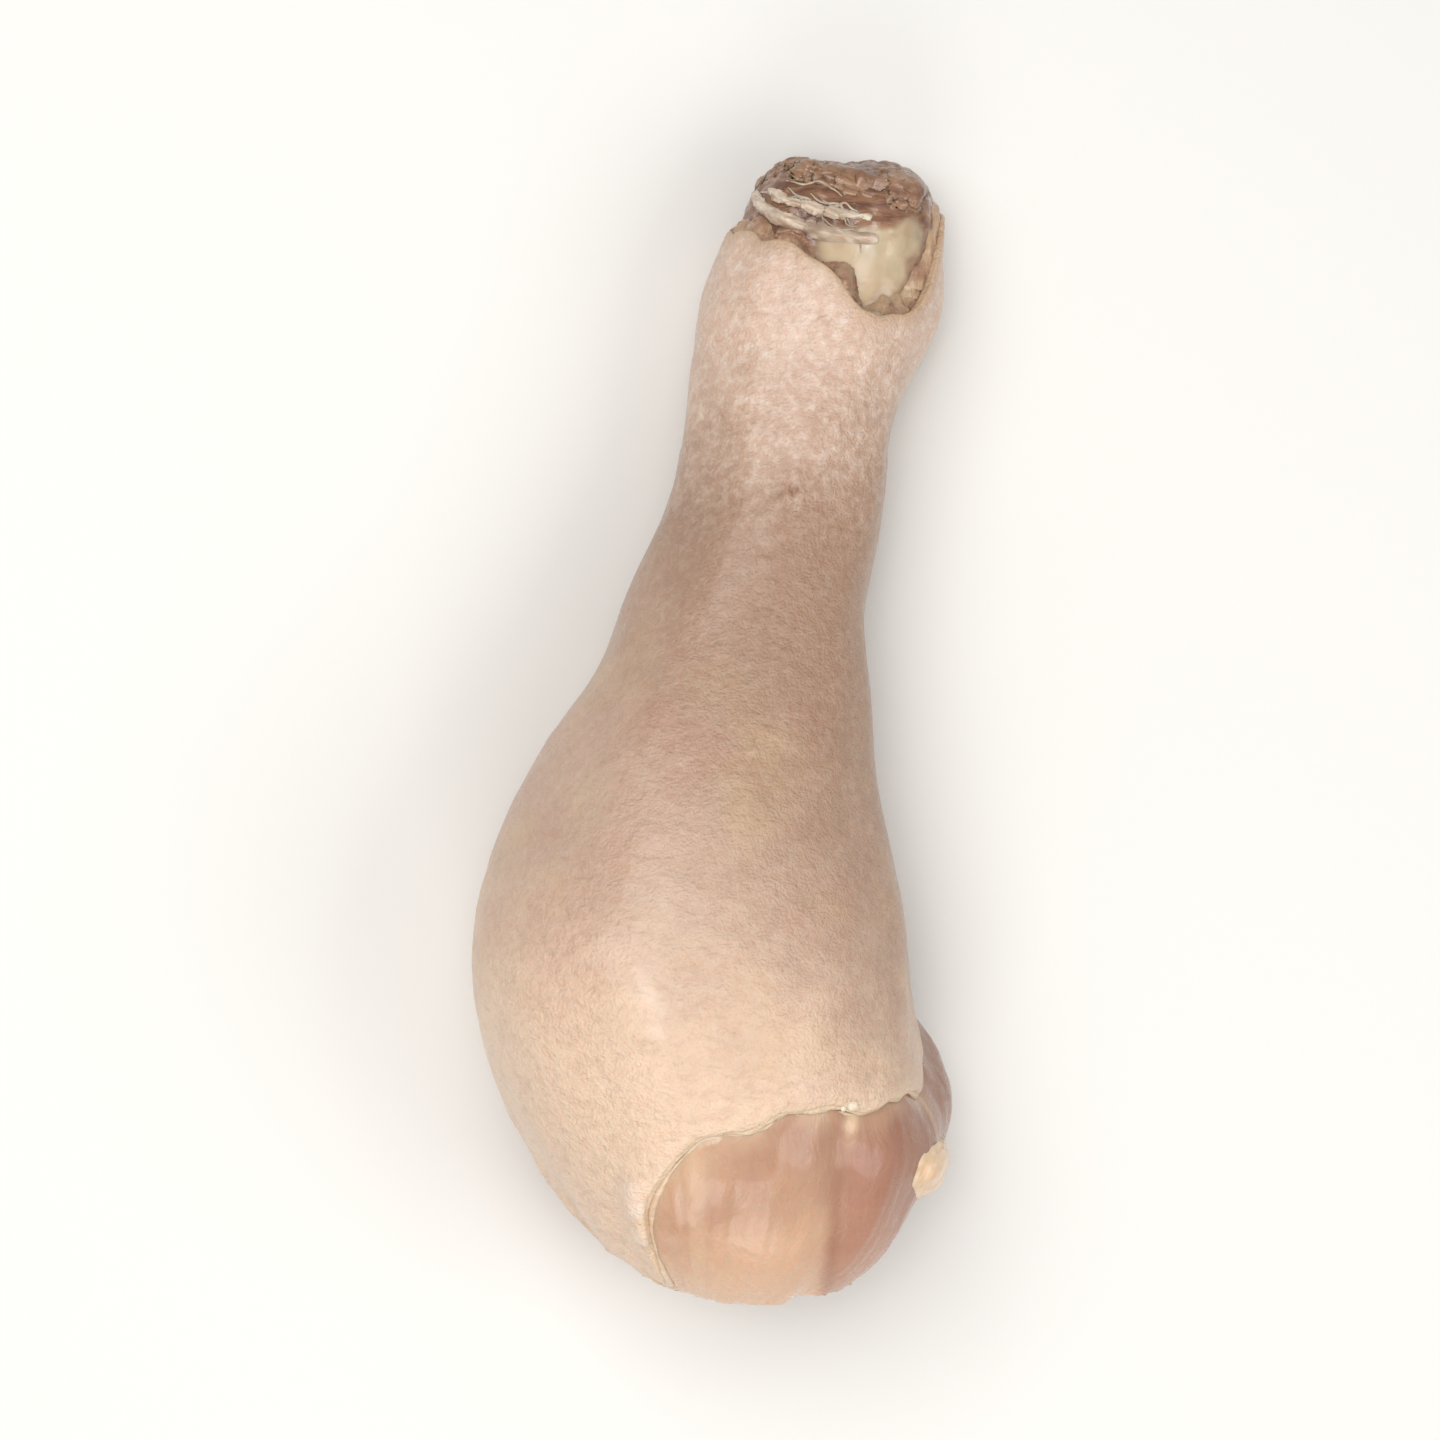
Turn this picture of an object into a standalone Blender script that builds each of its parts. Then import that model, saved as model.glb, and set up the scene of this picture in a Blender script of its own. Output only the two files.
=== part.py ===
# A raw chicken drumstick lying on its side: the shin bone from hock to knee, the muscle round it, the
# skin drawn over both like a sleeve, and the cut tendons at the hock.
# +Y runs along the leg towards the hock, +Z is up. The origin is on the surface that the leg lies on.
# Lengths in the tables and functions are millimetres. Vertices are turned to metres where they are made.
# Angles run round the leg, in degrees: 0 is its +X side, 90 its upper side.

import math

import bmesh
import bpy
from mathutils import Vector, noise

MM = 0.001
# Middle of the finished leg along X and Y in the tables below, which ends up over the origin.
MIDDLE = Vector((0.7, 1.01, 0.0))

# The leg's outline, skin included: along Y, centre X, centre Z, half width, half height.
# Its lower side dips below the surface where the soft meat flattens on it.
LEG = (
    (-70.0, 6.2, 20.6, 18.8, 22.0),
    (-50.0, 2.3, 20.5, 23.4, 22.5),
    (-38.0, -0.7, 20.4, 24.3, 22.5),
    (-26.0, -2.4, 20.0, 24.5, 22.0),
    (-13.0, -2.1, 18.5, 21.8, 20.2),
    (-2.0, 0.0, 16.8, 18.2, 17.2),
    (10.0, 3.4, 15.2, 14.6, 14.0),
    (23.0, 7.1, 14.0, 12.0, 11.8),
    (34.0, 10.0, 12.8, 11.8, 11.5),
    (46.0, 13.3, 11.2, 13.8, 12.4),
    (56.0, 14.7, 10.8, 12.4, 11.4),
    (68.0, 16.3, 10.8, 11.4, 10.0),
)
LEG_SQUARENESS = 2.2
LUMP_HEIGHT = 1.3  # how uneven the flesh is
LUMP_SIZE = 17.0

# The rounded end of the muscle at the knee: where it starts along Y, and how far it reaches past there.
DOME_START = -33.0
DOME_REACH = 32.0
DOME_SQUARENESS = 2.5  # 2 is a half circle, and more is blunter

SKIN_THICKNESS = 1.0
LIP_SWELLING = 0.7  # how much thicker the shrunken skin is at the knee's edge
LIP_WIDTH = 3.0
CUFF_FLARE = 0.8  # how far the skin stands off at the hock's edge
CUFF_LENGTH = 4.0
GAP = 0.4  # free space between neighbouring pieces
SKIN_STACK = SKIN_THICKNESS + GAP

# The skin's free edges: angle round the leg, and distance along it.
# At the knee a tongue of skin wraps the calf's side, and muscle swells out of a gap on the shin's.
KNEE_EDGE = (
    (4.0, -37.5),
    (24.0, -39.8),
    (58.0, -40.4),
    (79.0, -41.0),
    (92.0, -42.4),
    (103.0, -44.8),
    (112.0, -47.4),
    (121.0, -50.4),
    (127.0, -54.0),
    (133.0, -60.0),
    (142.0, -66.0),
    (160.0, -65.5),
    (178.0, -54.0),
    (196.0, -44.0),
    (225.0, -41.0),
    (262.0, -45.5),
    (288.0, -43.0),
    (308.0, -34.5),
    (326.0, -28.5),
    (343.0, -29.5),
)
# At the hock the cut dips into a notch that bares the right condyle.
HOCK_EDGE = (
    (8.0, 57.5),
    (22.0, 53.5),
    (38.0, 47.8),
    (64.0, 45.6),
    (86.0, 48.0),
    (98.0, 51.6),
    (125.0, 54.4),
    (160.0, 55.2),
    (200.0, 52.8),
    (240.0, 54.6),
    (290.0, 53.6),
    (335.0, 58.0),
)

# The shin bone: along Y, centre X, centre Z, half width, half height.
BONE = (
    (-66.0, 5.6, 20.2, 10.4, 8.0),
    (-58.0, 5.6, 20.2, 10.2, 7.8),
    (-50.0, 5.6, 19.8, 8.2, 6.8),
    (-38.0, 5.6, 19.0, 5.4, 5.2),
    (-22.0, 5.6, 17.8, 4.2, 4.2),
    (5.0, 6.6, 15.6, 3.7, 3.6),
    (30.0, 9.8, 13.4, 3.9, 3.7),
    (38.0, 12.0, 12.2, 5.6, 5.2),
    (44.0, 13.5, 11.5, 8.6, 7.6),
    (50.0, 14.7, 11.1, 10.6, 9.0),
    (57.0, 15.6, 10.9, 11.1, 9.1),
    (66.0, 16.4, 10.9, 11.1, 9.1),
)
BONE_SQUARENESS = 2.3
CONDYLE_START = 57.0  # the hock's rounded end
CONDYLE_REACH = 8.0
PLATEAU_START = -58.6  # the knee's nearly flat end
PLATEAU_REACH = 3.2
TROCHLEA_DEPTH = 1.7  # the pulley groove between the two condyles
TROCHLEA_WIDTH = 3.4
# The muscle stands round the knee's end like a collar: how far its mouth runs past it, and how much
# it widens.
MOUTH_REACH = 12.0
MOUTH_FLARE = 3.4
COLLAR_TOP = 47.0  # where the muscle stops short of the hock, at the most

# Clefts between the muscles that show past the skin: angle round the leg and depth.
MUSCLE_CLEFTS = ((8.0, 1.0), (66.0, 1.0), (188.0, 1.3), (233.0, 1.7), (300.0, 1.5))
CLEFT_HALF_ANGLE = 9.0
MUSCLE_BULGE = 0.8  # how far bare muscle swells past the outline once the skin lets go of it
SHIN_BULGE = 3.2  # the same on the shin's side, where it swells most
SHIN_BULGE_ANGLE = 345.0
SHIN_BULGE_HALF_ANGLE = 42.0
BULGE_END = -58.5  # distance along the leg where both have faded away, towards the knee
BULGE_FADE = 17.0
SWELL_LENGTH = 5.0
PAST_RIM = 0.7  # how far past the skin's edge the swelling starts

# Two flat strands of cut tendon fan out over the top of the hock: angle and distance along the leg where
# each starts and ends, and its half width. A strand bends: it turns across the leg towards its end.
TENDONS = (
    ("tendon_long", (168.0, 60.4), (74.0, 54.9), 1.1),
    ("tendon_short", (150.0, 60.8), (78.0, 57.5), 0.8),
)
TENDON_THICKNESS = 0.9
TENDON_BEND = 1.7  # 1 is straight

# A torn sheet of sinew wraps the hock's end: angle, and distance along the leg where its near edge lies.
SINEW_NEAR_EDGE = (
    (20.0, 59.4),
    (32.0, 58.2),
    (46.0, 57.4),
    (60.0, 57.8),
    (74.0, 59.0),
    (124.0, 62.0),
    (168.0, 62.6),
    (196.0, 59.6),
    (226.0, 58.0),
)
SINEW_FAR_EDGE = 66.0
SINEW_THICKNESS = 1.2

# A flap of fat lies on the bare muscle of the shin's side: angle and distance of its middle, half its
# width round the leg in degrees, half its length and its thickness.
FAT_MIDDLE = (6.0, -50.6)
FAT_HALF_ANGLE = 27.0
FAT_HALF_LENGTH = 4.3
FAT_THICKNESS = 1.7
FAT_SLANT = 1.2

SIDES = 48  # facets round the leg
SKIN_RINGS = 46
COVERED_RINGS = 16
BARE_RINGS = 13
BONE_SIDES = 20
TENDON_SIDES = 8
TENDON_RINGS = 11
SHEET_SIDES = 12
SINEW_RINGS = 20
FAT_RINGS = 9

COLOURS = {  # colour, roughness
    "skin": ((0.68, 0.48, 0.37, 1.0), 0.42),
    "muscle": ((0.58, 0.28, 0.20, 1.0), 0.3),
    "cartilage": ((0.60, 0.55, 0.45, 1.0), 0.25),
    "tendon": ((0.68, 0.58, 0.47, 1.0), 0.3),
    "sinew": ((0.37, 0.21, 0.13, 1.0), 0.3),
    "fat": ((0.80, 0.60, 0.36, 1.0), 0.3),
}


def smooth_step(value):
    value = min(max(value, 0.0), 1.0)
    return value * value * (3 - 2 * value)


def bell(distance, half_width):
    return math.exp(-((distance / half_width) ** 2))


def turn_between(angle, other):
    """The turn from one angle to another the short way round, in degrees."""
    return (angle - other + 180.0) % 360.0 - 180.0


def curve_through(rows, at, column=1):
    """The value at a place, on a smooth curve through rows whose first number is the place."""
    last = len(rows) - 1
    k = next((i for i in range(1, last) if rows[i][0] > at), last)
    before, start = rows[max(k - 2, 0)], rows[k - 1]
    end, after = rows[k], rows[min(k + 1, last)]
    span = end[0] - start[0]
    t = min(max((at - start[0]) / span, 0.0), 1.0)
    slope_in = (end[column] - before[column]) / (end[0] - before[0]) * span
    slope_out = (after[column] - start[column]) / (after[0] - start[0]) * span
    return (
        (2 * t**3 - 3 * t**2 + 1) * start[column]
        + (t**3 - 2 * t**2 + t) * slope_in
        + (3 * t**2 - 2 * t**3) * end[column]
        + (t**3 - t**2) * slope_out
    )


def round_edge(rows, angle):
    """The same for an edge that closes on itself round the leg."""
    rows = [(rows[-2][0] - 360, rows[-2][1]), (rows[-1][0] - 360, rows[-1][1]), *rows]
    rows += [(rows[2][0] + 360, rows[2][1]), (rows[3][0] + 360, rows[3][1])]
    return curve_through(rows, angle % 360)


def knee_edge(angle):
    ripple = 0.7 * math.sin(math.radians(11 * angle + 40))
    ripple += 0.4 * math.sin(math.radians(19 * angle))
    return round_edge(KNEE_EDGE, angle) + ripple


def hock_edge(angle):
    ripple = 0.45 * math.sin(math.radians(13 * angle))
    ripple += 0.3 * math.sin(math.radians(23 * angle + 70))
    return round_edge(HOCK_EDGE, angle) + ripple


def rounded(value, squareness):
    """A cosine or sine bent from a circle's towards a rounded square's."""
    return math.copysign(abs(value) ** (2 / squareness), value)


def end_cap(distance, start, reach, direction, squareness=2.2):
    """(Y, share of the full section) of a rounded end past start. distance runs over its surface."""
    past = (distance - start) * direction
    if past <= 0:
        return distance, 1.0
    turn = min(past / reach, math.pi / 2)
    share = max(1 - math.sin(turn) ** squareness, 0.0) ** (1 / squareness)
    return start + direction * reach * math.sin(turn), share


def laid_down(z, softness=0.8):
    """Flattens what would reach below the surface the leg lies on, with a soft turn."""
    if z >= softness:
        return z
    return 0.0 if z <= -softness else (z + softness) ** 2 / (4 * softness)


def leg_surface(distance, angle):
    """A point of the leg's outline, skin included."""
    y, share = end_cap(distance, DOME_START, DOME_REACH, -1, DOME_SQUARENESS)
    centre_x, centre_z, wide, high = (curve_through(LEG, y, column) for column in (1, 2, 3, 4))
    turn = math.radians(angle)
    x = centre_x + wide * share * rounded(math.cos(turn), LEG_SQUARENESS)
    z = centre_z + high * share * rounded(math.sin(turn), LEG_SQUARENESS)
    lump = noise.noise(Vector((x, y, z)) / LUMP_SIZE) * LUMP_HEIGHT
    x += lump * math.cos(turn)
    z += lump * math.sin(turn)
    return Vector((x, y, laid_down(z)))


def bone_surface(distance, angle):
    """A point of the bone, with the pulley groove at the hock and a shallow dish at the knee."""
    y, hock_share = end_cap(distance, CONDYLE_START, CONDYLE_REACH, 1)
    y, knee_share = end_cap(y, PLATEAU_START, PLATEAU_REACH, -1)
    share = min(hock_share, knee_share)
    centre_x, centre_z, wide, high = (curve_through(BONE, y, column) for column in (1, 2, 3, 4))
    turn = math.radians(angle)
    across = wide * share * rounded(math.cos(turn), BONE_SQUARENESS)
    up = high * share * rounded(math.sin(turn), BONE_SQUARENESS)
    groove = TROCHLEA_DEPTH * bell(across, TROCHLEA_WIDTH)
    groove *= smooth_step((y - 44) / 8)
    up -= math.copysign(min(groove * abs(math.sin(turn)), abs(up)), up)
    y -= groove * (1 - hock_share)
    ridge = smooth_step((-52 - y) / 4) * (1 - knee_share)
    y += ridge * (1.4 - 2.2 * bell(across, 2.6))
    return Vector((centre_x + across, y, centre_z + up))


def offset(surface, distance, angle, height):
    """The surface's point moved outwards by height along its normal, but not below Z 0."""
    step = 0.05
    along = surface(distance + step, angle) - surface(distance - step, angle)
    sideways = surface(distance, angle + 1) - surface(distance, angle - 1)
    point = surface(distance, angle) + along.cross(sideways).normalized() * height
    return Vector((point.x, point.y, max(point.z, 0.0)))


def angles(sides):
    return [360.0 * k / sides for k in range(sides)]


def skin_relief(distance, angle):
    """Folds of the skin: it gathers above the knee's edge and creases lengthwise over the calf."""
    above_edge = distance - knee_edge(angle)
    gathers = 0.35 * bell(above_edge - 9, 7) * math.sin(math.radians(9 * angle + 4 * distance))
    turn = math.radians(angle)
    creases = 0.35 * noise.noise(Vector((3 * math.cos(turn), 3 * math.sin(turn), distance / 28)))
    pinch = 0.5 * bell(distance - 40 - angle / 60, 2.2) * bell(turn_between(angle, 150), 55)
    return gathers + creases - pinch


def covered_distance(k, angle):
    """Where ring k of the covered muscle lies along the leg. The skin's lining has the same rings."""
    top = min(hock_edge(angle) - 1.8, COLLAR_TOP)
    return top + (knee_edge(angle) - top) * max(k, 0) / COVERED_RINGS


def cuff_flare(distance, angle):
    return CUFF_FLARE * bell(distance - hock_edge(angle), CUFF_LENGTH)


def skin_rings():
    """Rings over the outside of the skin, round its lip, back along its lining and round the cuff."""
    rings = []
    for k in range(SKIN_RINGS + 1):
        share = k / SKIN_RINGS
        ring = []
        for angle in angles(SIDES):
            top, bottom = hock_edge(angle), knee_edge(angle)
            distance = top + (bottom - top) * share
            fade = smooth_step(min(distance - bottom, top - distance) / 3)
            height = fade * skin_relief(distance, angle) + cuff_flare(distance, angle)
            height += LIP_SWELLING * bell(distance - bottom, LIP_WIDTH)
            ring.append(offset(leg_surface, distance, angle, height))
        rings.append(ring)
    rings += [
        rim_ring(knee_edge, -1, LIP_SWELLING, -SKIN_THICKNESS, turn) for turn in (45, 90, 135)
    ]
    for k in range(COVERED_RINGS, -3, -1):
        ring = []
        for angle in angles(SIDES):
            distance = covered_distance(k, angle)
            if k < 0:
                distance += (hock_edge(angle) - distance) * k / -2
            height = cuff_flare(distance, angle) - SKIN_THICKNESS
            ring.append(offset(leg_surface, distance, angle, height))
        rings.append(ring)
    rings += [
        rim_ring(hock_edge, 1, CUFF_FLARE, CUFF_FLARE - SKIN_THICKNESS, turn) for turn in (135, 90, 45)
    ]
    return rings


def rim_ring(edge, direction, outside, inside, turn):
    """A ring on the rim that joins the skin's outside to its lining, turn degrees from the outside."""
    radius = (outside - inside) / 2
    turn = math.radians(turn)
    reach = direction * radius * math.sin(turn)
    height = inside + radius * (1 + math.cos(turn))
    return [offset(leg_surface, edge(angle) + reach, angle, height) for angle in angles(SIDES)]


def muscle_height(distance, angle):
    """How far the muscle stands above the leg's outline. It is below it where skin covers it."""
    bare = smooth_step((knee_edge(angle) - distance - PAST_RIM) / SWELL_LENGTH)
    cleft = max(
        depth * bell(turn_between(angle, at), CLEFT_HALF_ANGLE) for at, depth in MUSCLE_CLEFTS
    )
    shin = bell(turn_between(angle, SHIN_BULGE_ANGLE), SHIN_BULGE_HALF_ANGLE)
    bulge = MUSCLE_BULGE + SHIN_BULGE * shin
    bulge *= smooth_step((distance - BULGE_END) / BULGE_FADE)
    return -SKIN_STACK + bare * (SKIN_STACK + bulge - cleft)


def muscle_rings():
    """Rings of points from the collar at the hock to the pole of the dome at the knee."""
    pole = DOME_START - DOME_REACH * math.pi / 2
    rings = []
    for k in range(COVERED_RINGS + BARE_RINGS + 1):
        ring = []
        for angle in angles(SIDES):
            distance = covered_distance(min(k, COVERED_RINGS), angle)
            if k > COVERED_RINGS:
                start = distance - PAST_RIM
                distance = start + (pole - start) * (k - COVERED_RINGS - 1) / BARE_RINGS
            ring.append(offset(leg_surface, distance, angle, muscle_height(distance, angle)))
        rings.append(ring)
    return rings


def bone_stops():
    """Distances along the bone from hock to knee, closer where its shape turns."""
    start = CONDYLE_START + CONDYLE_REACH * math.pi / 2
    end = PLATEAU_START - PLATEAU_REACH * math.pi / 2
    stops = [start + (44 - start) * k / 13 for k in range(1, 13)]
    stops += [44 - 82 * k / 12 for k in range(12)]
    return stops + [-38 + (end + 38) * k / 11 for k in range(11)]


def bone_rings():
    return [[bone_surface(stop, angle) for angle in angles(BONE_SIDES)] for stop in bone_stops()]


def tunnel_rings():
    """Rings of the room that the muscle leaves for the bone, which opens at the knee's end."""
    sides = angles(BONE_SIDES)
    stops = [stop for stop in bone_stops() if stop > PLATEAU_START]
    rings = [[offset(bone_surface, stop, angle, GAP) for angle in sides] for stop in stops]
    for share in (0.0, 0.25, 0.5, 1.0):
        flare = GAP + MOUTH_FLARE * share**2
        ring = [offset(bone_surface, PLATEAU_START, angle, flare) for angle in sides]
        y = PLATEAU_START - 0.8 - MOUTH_REACH * share
        rings.append([Vector((point.x, y, point.z)) for point in ring])
    return rings


def tendon_rings(start, end, half_width):
    """Rings of a flat band on the bone from start to end, each an angle and a distance along the leg."""
    rings = []
    turn, reach = end[0] - start[0], end[1] - start[1]
    height = GAP + TENDON_THICKNESS / 2

    def middle_line(share):
        bent = 1 - abs(1 - share) ** TENDON_BEND
        return start[1] + reach * bent, start[0] + turn * share

    for k in range(TENDON_RINGS):
        share = k / (TENDON_RINGS - 1)
        middle = offset(bone_surface, *middle_line(share), height)
        out = (offset(bone_surface, *middle_line(share), height + 1) - middle).normalized()
        behind, ahead = (offset(bone_surface, *middle_line(share + step), height) for step in (-0.05, 0.05))
        side = out.cross((ahead - behind).normalized()).normalized()
        taper = 0.25 + 0.75 * math.sin(math.pi * (0.08 + 0.84 * share)) ** 0.6
        ring = []
        for around in angles(TENDON_SIDES):
            sideways = half_width * taper * math.cos(math.radians(around))
            upwards = TENDON_THICKNESS / 2 * taper * math.sin(math.radians(around))
            ring.append(middle + side * sideways + out * upwards)
        rings.append(ring)
    return rings


def sheet_ring(surface, angle, near, far, thickness):
    """A ring round the cross-section of a thin sheet on a surface, from near to far along the leg."""
    middle, half = (near + far) / 2, (far - near) / 2
    ring = []
    for turn in angles(SHEET_SIDES):
        along = rounded(math.cos(math.radians(turn)), 3)
        up = rounded(math.sin(math.radians(turn)), 3)
        ring.append(offset(surface, middle + half * along, angle, GAP + thickness / 2 * (1 + up)))
    return ring


def sinew_rings():
    rings = []
    first, last = SINEW_NEAR_EDGE[0][0], SINEW_NEAR_EDGE[-1][0]
    for k in range(SINEW_RINGS):
        share = k / (SINEW_RINGS - 1)
        angle = first + (last - first) * share
        taper = 0.35 + 0.65 * math.sin(math.pi * (0.06 + 0.88 * share)) ** 0.5
        near = curve_through(SINEW_NEAR_EDGE, angle)
        far = SINEW_FAR_EDGE + 0.7 * math.sin(math.radians(5 * angle))
        far += 0.4 * math.sin(math.radians(13 * angle))
        far = near + (far - near) * taper
        thickness = SINEW_THICKNESS * taper * (1 + 0.25 * math.sin(math.radians(9 * angle)))
        rings.append(sheet_ring(bone_surface, angle, near, far, thickness))
    return rings


def muscle_surface(distance, angle):
    return offset(leg_surface, distance, angle, muscle_height(distance, angle))


def fat_rings():
    rings = []
    for k in range(FAT_RINGS):
        share = 2 * k / (FAT_RINGS - 1) - 1
        angle = FAT_MIDDLE[0] + FAT_HALF_ANGLE * share
        taper = 0.3 + 0.7 * math.sqrt(1 - (0.95 * share) ** 2)
        half = FAT_HALF_LENGTH * taper
        middle = FAT_MIDDLE[1] + FAT_SLANT * share
        near, far = middle - half, middle + half
        rings.append(sheet_ring(muscle_surface, angle, near, far, FAT_THICKNESS * taper))
    return rings


def material(name):
    colour, roughness = COLOURS[name]
    made = bpy.data.materials.new(name)
    made.use_nodes = True
    shader = made.node_tree.nodes["Principled BSDF"]
    shader.inputs["Base Color"].default_value = colour
    shader.inputs["Roughness"].default_value = roughness
    shader.inputs["Metallic"].default_value = 0.0
    return made


def lofted(name, rings, finish, ring_shaped=False):
    """A closed object through the rings in turn, then back to the first or with a fan over each end."""
    mesh = bmesh.new()
    loops = []
    for ring in rings:
        points = [mesh.verts.new((point - MIDDLE) * MM) for point in ring]
        loops.append([mesh.edges.new((points[k - 1], points[k])) for k in range(len(points))])
    pairs = list(zip(loops, loops[1:]))
    if ring_shaped:
        pairs.append((loops[-1], loops[0]))
    for first, second in pairs:
        bmesh.ops.bridge_loops(mesh, edges=first + second)
    if not ring_shaped:
        for loop in (loops[0], loops[-1]):
            corners = {corner for edge in loop for corner in edge.verts}
            middle = sum((corner.co for corner in corners), Vector()) / len(corners)
            pole = mesh.verts.new(middle)
            for edge in loop:
                mesh.faces.new((*edge.verts, pole))
    bmesh.ops.recalc_face_normals(mesh, faces=mesh.faces)
    data = bpy.data.meshes.new(name)
    mesh.to_mesh(data)
    mesh.free()
    data.shade_smooth()
    made = bpy.data.objects.new(name, data)
    bpy.context.scene.collection.objects.link(made)
    if finish:
        made.data.materials.append(material(finish))
        made.modifiers.new("even_facets", "TRIANGULATE").quad_method = "SHORTEST_DIAGONAL"
    return made


def hidden_cutter(made):
    made.hide_render = True
    made.display_type = "WIRE"
    return made


def main():
    for old in list(bpy.data.objects):
        bpy.data.objects.remove(old)
    lofted("bone", bone_rings(), "cartilage")
    meat = lofted("meat", muscle_rings(), "muscle")
    tunnel = hidden_cutter(lofted("bone_tunnel", tunnel_rings(), None))
    cut = meat.modifiers.new("bone_tunnel", "BOOLEAN")
    cut.operation = "DIFFERENCE"
    cut.object = tunnel
    lofted("skin", skin_rings(), "skin", ring_shaped=True)
    for name, start, end, half_width in TENDONS:
        lofted(name, tendon_rings(start, end, half_width), "tendon")
    lofted("sinew", sinew_rings(), "sinew")
    lofted("fat", fat_rings(), "fat")


main()
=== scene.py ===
import math

import bmesh
import bpy
import numpy as np
from mathutils import Matrix, Vector, bvhtree, kdtree, noise


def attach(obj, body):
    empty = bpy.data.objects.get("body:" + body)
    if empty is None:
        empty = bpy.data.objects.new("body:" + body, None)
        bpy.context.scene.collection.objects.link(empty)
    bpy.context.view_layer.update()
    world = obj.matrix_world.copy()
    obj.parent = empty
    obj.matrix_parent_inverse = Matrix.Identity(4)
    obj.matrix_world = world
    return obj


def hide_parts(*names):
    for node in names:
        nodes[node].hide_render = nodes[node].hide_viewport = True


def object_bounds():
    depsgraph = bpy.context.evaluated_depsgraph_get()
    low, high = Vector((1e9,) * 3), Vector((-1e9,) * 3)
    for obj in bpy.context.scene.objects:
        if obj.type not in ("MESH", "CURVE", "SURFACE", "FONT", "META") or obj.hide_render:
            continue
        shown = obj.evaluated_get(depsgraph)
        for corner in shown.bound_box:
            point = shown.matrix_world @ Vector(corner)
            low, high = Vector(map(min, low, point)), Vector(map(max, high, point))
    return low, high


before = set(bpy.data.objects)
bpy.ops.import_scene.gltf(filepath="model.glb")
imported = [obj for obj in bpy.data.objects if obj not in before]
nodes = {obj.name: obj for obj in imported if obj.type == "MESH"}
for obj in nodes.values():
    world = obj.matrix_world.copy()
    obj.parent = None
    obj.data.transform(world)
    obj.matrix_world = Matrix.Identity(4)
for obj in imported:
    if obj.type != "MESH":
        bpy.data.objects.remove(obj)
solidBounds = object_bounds()
mm = 0.001

# Middle line of the leg: along Y, X, Z. The thick end rounds off about its first point.
legLine = (
    (-36.0, -1.8, 20.3),
    (-14.0, -2.8, 18.5),
    (-3.0, -0.7, 16.8),
    (9.0, 2.7, 15.2),
    (22.0, 6.4, 14.0),
    (33.0, 9.3, 12.8),
    (45.0, 12.6, 11.2),
    (56.0, 14.2, 10.8),
)


# Small helpers.


def smoothStep(low, high, value):
    share = min(max((value - low) / (high - low), 0.0), 1.0)
    return share * share * (3 - 2 * share)


def bell(distance, halfWidth):
    return math.exp(-((distance / halfWidth) ** 2))


def turnBetween(angle, other):
    return (angle - other + 180) % 360 - 180


def linear(hexColour):  # an sRGB hex colour as the linear one that shaders take
    parts = [int(hexColour[k : k + 2], 16) / 255 for k in (1, 3, 5)]
    return (*[p / 12.92 if p <= 0.04045 else ((p + 0.055) / 1.055) ** 2.4 for p in parts], 1.0)


def aroundLeg(place):  # the turn round the leg in degrees, and the direction away from its middle line
    y = min(max(place.y, legLine[0][0]), legLine[-1][0])
    start, end = next((low, high) for low, high in zip(legLine, legLine[1:]) if y <= high[0])
    share = (y - start[0]) / (end[0] - start[0])
    middle = Vector((start[1] + (end[1] - start[1]) * share, y, start[2] + (end[2] - start[2]) * share))
    away = place - middle
    return math.degrees(math.atan2(away.z, away.x)) % 360, away.normalized()


def addNode(tree, kind, settings=None, links=None):
    # Settings are sockets by name or number, or properties by name. Links come from a node or a socket.
    # Map Range takes 1 and 2 to 3 and 4. Mix goes from colour 6 to 7 as its factor, 0, grows.
    node = tree.nodes.new(kind)
    for name, value in (settings or {}).items():
        if str(value).startswith("#"):
            value = linear(value)
        if isinstance(name, int) or name in node.inputs:
            node.inputs[name].default_value = value
        else:
            setattr(node, name, value)
    for name, source in (links or {}).items():
        if isinstance(source, bpy.types.Node):
            source = next(socket for socket in source.outputs if not socket.is_unavailable)
        tree.links.new(source, node.inputs[name])
    return node


def emptyMaterial(name):
    made = bpy.data.materials.new(name)
    made.use_nodes = True
    made.node_tree.nodes.clear()
    return made, made.node_tree


def bandsOver(tree, place, colour, look):
    # A band has a colour of the look, a heading, the two ends of its soft border along that, and its most.
    for name, heading, start, end, most in look["bands"]:
        along = addNode(tree, "ShaderNodeVectorMath", {"operation": "DOT_PRODUCT", 1: heading}, {0: place})
        span = {1: start, 2: end, 3: 0.0, 4: most}
        share = addNode(tree, "ShaderNodeMapRange", span, {0: along.outputs["Value"]})
        colour = addNode(tree, "ShaderNodeMix", {"data_type": "RGBA", 7: look[name]}, {0: share, 6: colour})
    return colour


# Meshes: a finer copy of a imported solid, which is then moved along its normals.


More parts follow.
